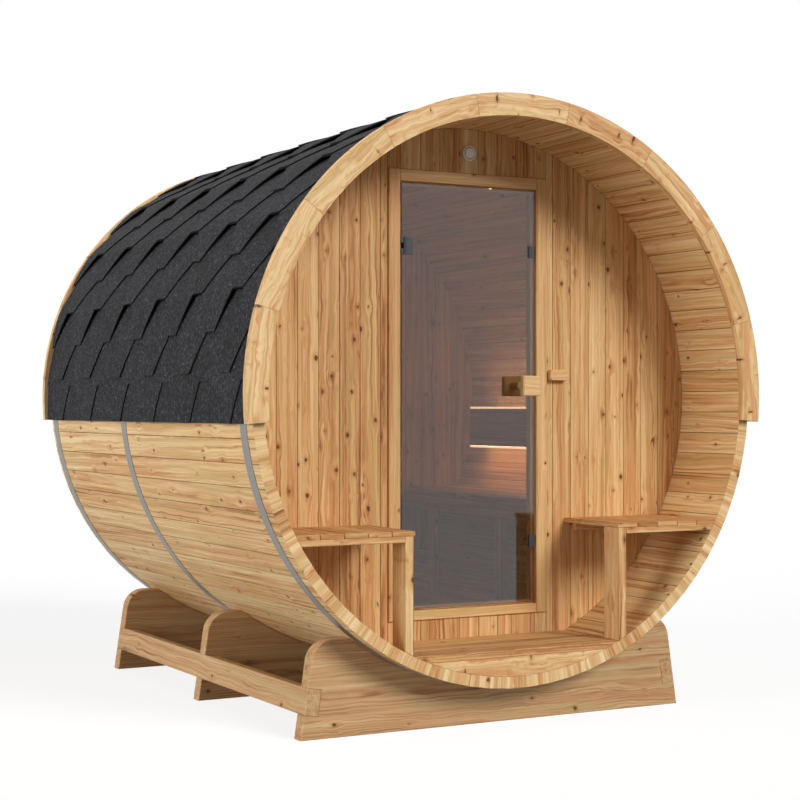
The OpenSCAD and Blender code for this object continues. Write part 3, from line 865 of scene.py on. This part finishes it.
def shingle(solids, draw, side, centre, course, sizes):
    """One tab of a course, with half a notch on each side, and what it hides under the next course."""
    pitch, reveal, thick = sizes.tab_pitch / MM, sizes.tab_reveal / MM, sizes.shingle_t / MM
    start, _, at_end, at_notch = course
    rows = [reveal * r / VISIBLE_ROWS for r in range(VISIBLE_ROWS + 1)]
    rows += [reveal * (1 + HIDDEN * r / HIDDEN_ROWS) for r in range(1, HIDDEN_ROWS + 1)]
    rim = pitch / 2 - GAP
    edge_t = sizes.underlay_t / MM
    spots = {}
    for r, q in enumerate(rows):
        t = min(1.0, q / reveal)
        height = at_end + (at_notch - at_end) * t
        if q > reveal:
            height = at_notch + (TOP_H - at_notch) * (q / reveal - 1) / HIDDEN
        s = min(start + q, TO_RIDGE)
        half = pitch * (END_HALF + (NOTCH_HALF - END_HALF) * t)
        ragged = 0.8 if 0 < r < VISIBLE_ROWS else 0.0
        places = (-rim, -half + draw.uniform(-ragged, ragged), half + draw.uniform(-ragged, ragged), rim)
        if r == 0 and start > 0:
            s += draw.uniform(-0.5, 0.5)
        for c, place in enumerate(places):
            y = min(max(centre + place, PORCH_END), BACK_END)
            spots[(r, c)] = (on_roof(s, side), y, SHINGLE_BED + height + felt_height(s, edge_t))
    cells = []
    for r in range(len(rows) - 1):
        for c in range(3) if r >= VISIBLE_ROWS else (1,):
            low_in, low_out, high_out, high_in = cell = [(r, c), (r, c + 1), (r + 1, c + 1), (r + 1, c)]
            wide = max(spots[low_out][1] - spots[low_in][1], spots[high_out][1] - spots[high_in][1])
            tall = abs(spots[low_in][0] - spots[high_in][0])
            if wide > 1.0 and tall > 0.01:
                cells.append(cell[::-side])
    if cells:
        sheet(solids, cells, spots, thick, Wood(draw, (0, 0, 0), ALONG_Y, ALONG_X))


class SAUNA_OT_shingles(Operator):
    """Lay the shingle courses up both sides and the ridge caps along the top"""

    bl_idname = "sauna.shingles"
    bl_label = "Shingles"

    def execute(self, context):
        sizes = context.scene.sauna_sizes
        pitch, reveal, thick = sizes.tab_pitch / MM, sizes.tab_reveal / MM, sizes.shingle_t / MM
        edge_t = sizes.underlay_t / MM
        draw = maker("shingles")
        solids = Solids()
        for side in (-1, 1):
            felt(solids, side, edge_t, Wood(draw, (0, 0, 0), ALONG_Y, ALONG_X, 0.3))
            # Starter strip under the first course
            spots, cells = {}, []
            for r in range(STARTER_ROWS + 1):
                s = r * reveal / STARTER_ROWS * STARTER_REACH
                for c, y in enumerate((PORCH_END, BACK_END)):
                    spots[(r, c)] = (on_roof(s, side), y, SHINGLE_BED + felt_height(s, edge_t))
                if r:
                    cells.append([(r - 1, 0), (r - 1, 1), (r, 1), (r, 0)][::-side])
            sheet(solids, cells, spots, thick, Wood(draw, (0, 0, 0), ALONG_Y, ALONG_X, 0.3))
            for course in shingle_courses(reveal, thick, sizes.shingle_lift / MM):
                centre = TAB_PLACES[course[1]] - pitch
                while centre < BACK_END + pitch:
                    shingle(solids, draw, side, centre, course, sizes)
                    centre += pitch
        # Ridge caps, each lapping the one before it
        y = PORCH_END
        while y < BACK_END - 1:
            spots, cells = {}, []
            end = min(y + CAP_IN_SIGHT + CAP_LAP, BACK_END)
            for c in range(CAP_COLUMNS + 1):
                angle = 90 - (2 * c / CAP_COLUMNS - 1) * CAP_HALF * DEGREES_PER_MM
                spots[(0, c)] = (angle, y, CAP_FRONT_H)
                spots[(1, c)] = (angle, end, CAP_BACK_H)
                if c:
                    cells.append([(0, c), (1, c), (1, c - 1), (0, c - 1)])
            sheet(solids, cells, spots, thick, Wood(draw, (0, 0, 0), ALONG_Y, ALONG_X))
            y += CAP_IN_SIGHT
        solids.make("roof_courses", "shingle", "bitumen_shingle", "roof_shingles")
        return {"FINISHED"}


class SAUNA_OT_arches(Operator):
    """Build the two arches that close the roof's ends"""

    bl_idname = "sauna.arches"
    bl_label = "Arches"

    def execute(self, context):
        board = (180 + 2 * EDGE_ANGLE) / ARCH_BOARDS
        gap = math.degrees(GAP / ARCH_IN_R)
        steps = 20
        for name in ("front_arch", "back_arch"):
            y0, y1 = extent(name, Y)
            draw = maker(name)
            solids = Solids()
            for i in range(ARCH_BOARDS):
                a0 = i * board - EDGE_ANGLE + gap
                a1 = (i + 1) * board - EDGE_ANGLE - gap
                outline = [polar(ARCH_OUT_R, a0 + (a1 - a0) * s / steps) for s in range(steps + 1)]
                outline += [polar(ARCH_IN_R, a1 + (a0 - a1) * s / steps) for s in range(steps + 1)]
                x, z = polar((ARCH_IN_R + ARCH_OUT_R) / 2, (a0 + a1) / 2)
                out = Vector(polar(1, (a0 + a1) / 2))
                wood = Wood(draw, (x, (y0 + y1) / 2, z), (-out.y, 0, out.x), (out.x, 0, out.y))
                prism(solids, outline, y0, y1, wood, 1.2, seam=0.05, joints=out, end_bevel=0.5)
            solids.make(f"{name}_boards", "arch", "arch_pine", name)
        return {"FINISHED"}


# ------------------------------------------------------------- walls and floor


class SAUNA_OT_walls(Operator):
    """Board the front wall round the door, and the back wall"""

    bl_idname = "sauna.walls"
    bl_label = "End walls"

    def execute(self, context):
        sizes = context.scene.sauna_sizes
        pitch, groove = sizes.wall_board / MM, sizes.groove / MM
        whole = (-BEYOND, BEYOND)
        for name, (x0, x1), z in (
            ("front_wall_left", (-BEYOND, extent("front_wall_left", X)[1]), whole),
            ("front_wall_right", (extent("front_wall_right", X)[0], BEYOND), whole),
            ("front_wall_top", extent("front_wall_top", X), (heights("front_wall_top")[0], BEYOND)),
            ("front_wall_bottom", extent("front_wall_bottom", X), (-BEYOND, heights("front_wall_bottom")[1])),
            ("back_wall", whole, whole),
        ):
            y = extent(name, Y)
            draw = maker(name)
            solids = Solids()
            for k in range(math.floor(x0 / pitch + 0.5), math.ceil(x1 / pitch + 0.5)):
                centre = k * pitch
                reach = (pitch - GAP) / 2
                a, b = max(x0, centre - reach), min(x1, centre + reach)
                if b - a >= 4:
                    fitted(
                        solids, draw, (a, b), y, z, (centre, sum(y) / 2, 0), UPRIGHT, ALONG_X, groove,
                        seam=0.6, joints=Vector((0, 1)), corners=False,
                    )
            solids.make(f"{name}_boards", "wall", "wall_pine", name)
        return {"FINISHED"}


class SAUNA_OT_floor(Operator):
    """Lay the porch and room floors and the bearers under them"""

    bl_idname = "sauna.floor"
    bl_label = "Floor"

    def execute(self, context):
        sizes = context.scene.sauna_sizes
        width, groove = sizes.floor_board / MM, sizes.groove / MM
        z = (FLOOR_TOP - FLOOR_T, FLOOR_TOP)
        for name in ("porch_floor", "room_floor"):
            y0, y1 = extent(name, Y)
            count = round((y1 - y0) / width)
            step = (y1 - y0) / count
            draw = maker(name)
            solids = Solids()
            for i in range(count):
                y = (y0 + i * step, y0 + (i + 1) * step - GAP)
                middle = (0, sum(y) / 2, sum(z) / 2)
                fitted(
                    solids, draw, (-BEYOND, BEYOND), y, z, middle, ALONG_X, ALONG_Y, groove, seam=0.5,
                    corners=False,
                )
            solids.make(f"{name}_boards", "floor", "floor_pine", name)
        draw = maker("bearers")
        solids = Solids()
        bearer_t, off_wall = 24, 2
        top = FLOOR_TOP - FLOOR_T - GAP
        last = extent("back_wall", Y)[0] - bearer_t
        step = (last - WALL_BACK) / 3
        for y in (
            PORCH_END, WALL_FRONT - bearer_t - off_wall, WALL_BACK + off_wall, WALL_BACK + step,
            WALL_BACK + 2 * step, last - off_wall,
        ):
            fitted(
                solids, draw, (-BEYOND, BEYOND), (y, y + bearer_t), (-BEYOND, top), (0, y, top), ALONG_X,
                UPRIGHT, groove, corners=False,
            )
        # The bearers take the paler arch wood rather than the floor's, as painted light on the porch's lit
        # front bearer.
        solids.make("floor_bearer_timbers", "arch", "floor_pine", "floor_bearers")
        return {"FINISHED"}


# ------------------------------------------------------------- door


FRAME_HALF = extent("door_frame", X)[1]
POST_W = 45
OPENING_HALF = FRAME_HALF - POST_W
SILL_H, HEAD_H, STOP_W = 32, 40, 13


def surround(solids, draw, name, half, width, bars, bevel):
    """Two uprights that reach out to half, and the bars between them at the given heights."""
    (y0, y1), (z0, z1) = extent(name, Y), heights(name)
    for side in (-1, 1):
        a, b = on_side(side, half - width, half)
        beam(solids, draw, (a, y0, z0), (b, y1, z1), Z, bevel)
    reach = half - width - GAP
    for lower, upper in bars:
        beam(solids, draw, (-reach, y0, lower), (reach, y1, upper), X, bevel)


class SAUNA_OT_door_frame(Operator):
    """Build the door frame and the stops behind the glass"""

    bl_idname = "sauna.door_frame"
    bl_label = "Door frame"

    def execute(self, context):
        edge = context.scene.sauna_sizes.edge / MM
        draw = maker("door frame")
        z0, z1 = heights("door_frame")
        solids = Solids()
        bars = ((z1 - HEAD_H, z1), (z0, z0 + SILL_H))
        surround(solids, draw, "door_frame", FRAME_HALF, POST_W, bars, edge)
        solids.make("door_frame_timbers", "frame", "frame_pine", "door_frame")
        z0, z1 = heights("door_stops")
        solids = Solids()
        bars = ((z0, z0 + STOP_W), (z1 - STOP_W, z1))
        surround(solids, draw, "door_stops", OPENING_HALF, STOP_W, bars, 1.2)
        solids.make("door_stop_beads", "frame", "frame_pine", "door_stops")
        return {"FINISHED"}


HANDLE_W, HANDLE_T = 70, 24
HANDLE_GAP = 48
STEM_R = 15


class SAUNA_OT_door_leaf(Operator):
    """Finish the glass leaf, its clips and plates, and build the handle"""

    bl_idname = "sauna.door_leaf"
    bl_label = "Door leaf"

    def execute(self, context):
        draw = maker("door leaf")
        glass = extent("door_glass", Y)
        solids = Solids()
        outline = rect(*extent("door_glass", X), *heights("door_glass"))
        prism(solids, outline, *glass, Wood(draw, (0, 0, 0), UPRIGHT, ALONG_X), 0.8)
        solids.make("door_glass_pane", "glass", "tinted_glass", "door_glass", "door")

        solids = Solids()
        middle, height = sum(extent("door_handle", X)) / 2, sum(heights("door_handle")) / 2
        half = HANDLE_W / 2
        for face, out in zip(glass, (-1, 1)):
            near = face + out * HANDLE_GAP
            y0, y1 = sorted((near, near + out * HANDLE_T))
            wood = Wood(draw, (middle, (y0 + y1) / 2, height), ALONG_X, UPRIGHT, 0.4)
            prism(solids, rect(middle - half, middle + half, height - half, height + half), y0, y1, wood, 3.5)
            wood = Wood(draw, (middle, face, height), ALONG_Y, ALONG_X, 0.4)
            ring = [(middle + x, height + z) for x, z in (polar(STEM_R, 7.5 * k) for k in range(48))]
            prism(solids, ring, *sorted((face, near)), wood, 0.4, corners=False)
        solids.make("door_handle_blocks", "handle", "handle_wood", "door_handle", "door")
        for name in ("hinge_leaves", "hinge_clips", "catch_plates"):
            bevel = refinish(name, "powder").modifiers.new("eased edges", "BEVEL")
            bevel.width = 0.5 * MM
            bevel.segments = 2
            bevel.limit_method = "ANGLE"
        return {"FINISHED"}


# ------------------------------------------------------------- wall fittings


class SAUNA_OT_fittings(Operator):
    """Turn the vent cap and shape the hook block"""

    bl_idname = "sauna.fittings"
    bl_label = "Vent and hook block"

    def execute(self, context):
        draw = maker("fittings")
        front, back = extent("vent_cap", Y)
        x0, x1 = extent("vent_cap", X)
        r, height = (x1 - x0) / 2, sum(heights("vent_cap")) / 2
        # Radius, place along the barrel and darkness of each band, from the wall to the middle of the disc.
        # The darkness is painted shade: on the side of the rim, and deepest at the bottom of the groove
        # between rim and disc.
        profile = (
            (r, back, 0.35), (r, front + 4, 0), (r - 1, front + 2.4, 0), (r - 3, front + 1.5, 0),
            (r - 5, front + 2.5, 0.35), (r - 6, front + 6, 1), (r - 7, front + 6, 0.35),
            (r - 8, front + 1, 0), (r - 9.5, front + 0.2, 0), (r - 14, front, 0), (3, front, 0),
        )
        steps = 64
        points, faces, seams = [], [], []
        for k, (radius, y, dark) in enumerate(profile):
            for s in range(steps):
                x, z = polar(radius, 360 * s / steps)
                points.append((x, y, height + z))
                if k < len(profile) - 1:
                    here, there = k * steps + s, k * steps + (s + 1) % steps
                    faces.append([here + steps, there + steps, there, here])
                    seams.append(dark)
        faces += [list(range(len(points) - steps, len(points))), list(range(steps))[::-1]]
        solids = Solids()
        solids.add(points, faces, Wood(draw, (0, 0, 0), UPRIGHT, ALONG_X), seams + [0.0, 0.0])
        solids.make("vent_cap_disc", "vent", "vent_plastic", "vent_cap")

        x, y, z = extent("hook_block", X), extent("hook_block", Y), heights("hook_block")
        wood = Wood(draw, (sum(x) / 2, y[0], sum(z) / 2), ALONG_X, UPRIGHT, 0.4)
        outline, _ = cut_corners(rect(*x, *z), 6)
        solids = Solids()
        prism(solids, outline, *y, wood, 2.5, corners=False)
        solids.make("hook_block_wood", "handle", "handle_wood", "hook_block")
        return {"FINISHED"}


# ------------------------------------------------------------- benches


SEAT_BOARDS = 5
SEAT_T = 16
SEAT_GAP = 2


def seat(solids, draw, side, x0, top, y, bevel):
    """The boards of a seat, side by side from its front edge out to the staves."""
    pitch = (math.sqrt(INNER_R**2 - top**2) - x0) / SEAT_BOARDS
    for i in range(SEAT_BOARDS):
        a = x0 + i * pitch
        x = on_side(side, a, BEYOND if i == SEAT_BOARDS - 1 else a + pitch - SEAT_GAP)
        fitted(
            solids, draw, x, y, (top - SEAT_T, top), (side * a, sum(y) / 2, top), ALONG_Y, ALONG_X, bevel,
            seam=0.1, end_bevel=1.0, ends=(ALONG_X, UPRIGHT),
        )


class SAUNA_OT_porch_benches(Operator):
    """Build the two porch benches with their legs, rails and battens"""

    bl_idname = "sauna.porch_benches"
    bl_label = "Porch benches"

    def execute(self, context):
        bevel = context.scene.sauna_sizes.edge / MM
        leg_t, leg_w, rail_t, rail_h, batten_t, batten_h = 29, 90, 28, 20, 22, 28
        for side, word in ((-1, "left"), (1, "right")):
            draw = maker(f"porch {word}")
            name = f"porch_seat_{word}"
            solids = Solids()
            inner = min(abs(x) for x in extent(name, X))
            seat(solids, draw, side, inner, heights(name)[1], extent(name, Y), bevel)
            solids.make(f"{name}_boards", "bench", "bench_pine", name)

            name = f"porch_frame_{word}"
            leg_in = min(abs(x) for x in extent(name, X))
            leg_out = leg_in + leg_t
            top = heights(name)[1]
            solids = Solids()
            x, y = on_side(side, leg_in, leg_out), (PORCH_END, PORCH_END + leg_w)
            middle = (sum(x) / 2, sum(y) / 2, 0)
            fitted(solids, draw, x, y, (-BEYOND, top), middle, UPRIGHT, ALONG_X, bevel)
            for start, y0, thick, tall in (
                (leg_out + GAP, PORCH_END, rail_t, rail_h),
                (leg_out, WALL_FRONT - batten_t, batten_t, batten_h),
            ):
                x, middle = on_side(side, start, BEYOND), (side * (start + BEYOND) / 2, y0, top)
                fitted(solids, draw, x, (y0, y0 + thick), (top - tall, top), middle, ALONG_X, UPRIGHT, bevel)
            solids.make(f"{name}_timbers", "leg", "bench_pine", name)
        return {"FINISHED"}


BENCH_POSTS = (-168, 348)
BENCH_POST_W = 50


class SAUNA_OT_inside_bench(Operator):
    """Build the bench and backrest inside the room"""

    bl_idname = "sauna.inside_bench"
    bl_label = "Inside bench"

    def execute(self, context):
        bevel = context.scene.sauna_sizes.edge / MM
        draw = maker("inside bench")
        inner = extent("bench_seat", X)[0]
        y0, y1 = extent("bench_seat", Y)
        posts = [(y, (y - BENCH_POST_W / 2, y + BENCH_POST_W / 2)) for y in BENCH_POSTS]
        solids = Solids()
        seat(solids, draw, 1, inner, heights("bench_seat")[1], (y0, y1), bevel)
        solids.make("bench_seat_boards", "bench", "bench_pine", "bench_seat")

        top = heights("bench_frame")[1]
        rail_t, rail_h, bearer_h = 28, 60, 28
        solids = Solids()
        beam(solids, draw, (inner, y0, top - rail_h), (inner + rail_t, y1, top), Y, bevel)
        for place, y in posts:
            x, z = (inner, inner + rail_t), (-BEYOND, top - rail_h - GAP)
            fitted(solids, draw, x, y, z, (inner, place, 0), UPRIGHT, ALONG_X, bevel)
            x, z = (inner + rail_t + GAP, BEYOND), (top - bearer_h, top)
            fitted(solids, draw, x, y, z, (inner, place, top), ALONG_X, ALONG_Y, bevel)
        solids.make("bench_frame_timbers", "bench", "bench_pine", "bench_frame")

        x0 = extent("backrest", X)[0]
        y0, y1 = extent("backrest", Y)
        z0, z1 = heights("backrest")
        board_h, thick, gap = 78, 20, 2
        solids = Solids()
        for z in (z0, z1 - board_h):
            beam(solids, draw, (x0, y0, z), (x0 + thick, y1, z + board_h), Y, bevel)
        for place, y in posts:
            x, z = (x0 + thick + GAP, BEYOND), (z0 + gap, z1 - gap)
            fitted(solids, draw, x, y, z, (x0, place, z0), UPRIGHT, ALONG_X, bevel)
        solids.make("backrest_boards", "bench", "bench_pine", "backrest")
        return {"FINISHED"}


class SAUNA_OT_light_strips(Operator):
    """Light the strips above and below the backrest"""

    bl_idname = "sauna.light_strips"
    bl_label = "Light strips"

    def execute(self, context):
        refinish("light_strips", "light")
        return {"FINISHED"}


# ------------------------------------------------------------- cradles


CRADLE_LEAN = math.radians(8.5)
CRADLE_FOOT = extent("front_cradle", X)[1]
CRADLE_H = 312
CRADLE_ROUND = 80
GROUND = -AXIS_Z
RAIL_UP, RAIL_H, RAIL_T = 79, 85, 49


def rail_outline(slack=0.0):
    """The slanting outline of the right-hand side rail, as seen from the porch."""
    out = Vector((math.cos(CRADLE_LEAN), math.sin(CRADLE_LEAN)))
    rise = Vector((-out.y, out.x))
    start = Vector((CRADLE_FOOT, GROUND)) + rise * (RAIL_UP - slack) + out * slack
    end = start + rise * (RAIL_H + 2 * slack)
    back = out * (RAIL_T + 2 * slack)
    return [tuple(start), tuple(end), tuple(end - back), tuple(start - back)]


def cradle_outline():
    """The outline of a cradle: flat foot, leaning ends with round tops, hollow for the barrel, notches."""
    r = CRADLE_ROUND
    straight = CRADLE_H - r
    x = CRADLE_FOOT - (r + straight * math.sin(CRADLE_LEAN)) / math.cos(CRADLE_LEAN)
    z = GROUND + straight
    steps = 16
    turn = (math.pi / 2 - CRADLE_LEAN) / steps
    angles = [CRADLE_LEAN + k * turn for k in range(steps + 1)]
    end = [(x + math.cos(a) * r, z + math.sin(a) * r) for a in angles]
    top = GROUND + CRADLE_H
    start_angle = math.degrees(math.atan2(top, math.sqrt(DECK_R**2 - top**2)))
    stop_angle = -180 - start_angle
    hollow = [polar(DECK_R, start_angle + (stop_angle - start_angle) * k / 80) for k in range(81)]
    low_out, high_out, high_in, low_in = rail_outline(GAP)

    def on_face(height):
        return (CRADLE_FOOT - (height - GROUND) * math.tan(CRADLE_LEAN), height)

    right = [(CRADLE_FOOT, GROUND), on_face(low_out[1]), low_in, high_in, on_face(high_out[1])] + end
    left = [(-x, z) for x, z in reversed(right)]
    return thinned(right + hollow + left, 0.4)


class SAUNA_OT_cradles(Operator):
    """Build the three cradles and the two side rails"""

    bl_idname = "sauna.cradles"
    bl_label = "Cradles"

    def execute(self, context):
        bevel = context.scene.sauna_sizes.edge / MM
        outline = cradle_outline()
        for name in ("front_cradle", "middle_cradle", "back_cradle"):
            solids = Solids()
            y0, y1 = extent(name, Y)
            wood = Wood(maker(name), (0, y0, GROUND + 150), ALONG_X, UPRIGHT, 0.5)
            prism(solids, outline, y0, y1, wood, 2.0, corners=False)
            solids.make(f"{name}_timber", "cradle", "cradle_pine", name)
        for side, word in ((-1, "left"), (1, "right")):
            name = f"side_rail_{word}"
            shape = [(side * x, z) for x, z in rail_outline()]
            solids = Solids()
            wood = Wood(maker(f"rail {word}"), (shape[0][0], 0, shape[0][1]), ALONG_Y, UPRIGHT, 0.5)
            prism(solids, shape, *extent(name, Y), wood, bevel)
            solids.make(f"{name}_timber", "cradle", "cradle_pine", name)
        return {"FINISHED"}


# ------------------------------------------------------------- stage


# Each lamp: its name, the direction that it shines from, its strength and how wide it looks in degrees
LAMPS = (
    ("key lamp", (0.34, -1.0, 0.62), 2.35, 24),
    ("side lamp", (-1.0, -0.08, 0.1), 3.1, 40),
)
SKY_LEVEL = 0.24
FLOOR_HALF = 60.0
CAMERA_SPOT = (-3.050, -5.751, 1.043)
CAMERA_TURN = (math.radians(90.4204), 0, math.radians(-28.4933))


class SAUNA_OT_stage(Operator):
    """Set the floor, the lamps, the surroundings and the camera"""

    bl_idname = "sauna.stage"
    bl_label = "Stage"

    def execute(self, context):
        scene = context.scene
        mesh = bpy.data.meshes.new("studio_floor")
        corners = rect(-FLOOR_HALF, FLOOR_HALF, -FLOOR_HALF, FLOOR_HALF)
        mesh.from_pydata([(x, y, 0) for x, y in corners], [], [(0, 1, 2, 3)])
        mesh.materials.append(finish("paper"))
        floor = bpy.data.objects.new("studio_floor", mesh)
        floor.location.z = -0.5 * MM
        scene.collection.objects.link(floor)

        world = bpy.data.worlds.new("studio")
        world.use_nodes = True
        world.node_tree.nodes.clear()
        add = partial(node, world.node_tree)
        level = add("MapRange", (seen_directly(add), 0.0, 1.0, SKY_LEVEL, 1.0))
        add("OutputWorld", (add("Background", ((1, 1, 1, 1), level)),), None)
        scene.world = world

        for name, direction, strength, wide in LAMPS:
            lamp = bpy.data.lights.new(name, "SUN")
            lamp.energy = strength
            lamp.angle = math.radians(wide)
            holder = bpy.data.objects.new(name, lamp)
            holder.rotation_mode = "QUATERNION"
            holder.rotation_quaternion = Vector(direction).to_track_quat("Z", "Y")
            scene.collection.objects.link(holder)

        camera = bpy.data.cameras.new("camera")
        camera.lens = 77.6
        camera.sensor_width = 36
        camera.shift_x = 0.0074
        camera.shift_y = -0.0064
        holder = bpy.data.objects.new("camera", camera)
        holder.location = CAMERA_SPOT
        holder.rotation_euler = CAMERA_TURN
        scene.collection.objects.link(holder)
        scene.camera = holder
        scene.view_settings.view_transform = "Standard"
        return {"FINISHED"}


# ------------------------------------------------------------- add-on

STEPS = (
    SAUNA_OT_staves,
    SAUNA_OT_hoops,
    SAUNA_OT_shingles,
    SAUNA_OT_arches,
    SAUNA_OT_walls,
    SAUNA_OT_floor,
    SAUNA_OT_door_frame,
    SAUNA_OT_door_leaf,
    SAUNA_OT_fittings,
    SAUNA_OT_porch_benches,
    SAUNA_OT_inside_bench,
    SAUNA_OT_light_strips,
    SAUNA_OT_cradles,
    SAUNA_OT_stage,
)


class SAUNA_PT_panel(Panel):
    """Lists the settings and the steps"""

    bl_idname = "SAUNA_PT_panel"
    bl_label = "Barrel Sauna"
    bl_space_type = "VIEW_3D"
    bl_region_type = "UI"
    bl_category = "Barrel Sauna"

    def draw(self, context):
        for group in (context.scene.sauna_sizes, context.scene.sauna_colours):
            box = self.layout.box()
            for name in group.__annotations__:
                box.prop(group, name)
        for step in STEPS:
            self.layout.operator(step.bl_idname)


CLASSES = (SaunaSizes, SaunaColours, *STEPS, SAUNA_PT_panel)


def register():
    for cls in CLASSES:
        bpy.utils.register_class(cls)
    bpy.types.Scene.sauna_sizes = PointerProperty(type=SaunaSizes)
    bpy.types.Scene.sauna_colours = PointerProperty(type=SaunaColours)


def unregister():
    del bpy.types.Scene.sauna_colours
    del bpy.types.Scene.sauna_sizes
    for cls in reversed(CLASSES):
        bpy.utils.unregister_class(cls)


def main():
    """Builds everything in order."""
    register()
    for step in STEPS:
        group, name = step.bl_idname.split(".")
        getattr(getattr(bpy.ops, group), name)()


if __name__ == "__main__":
    main()
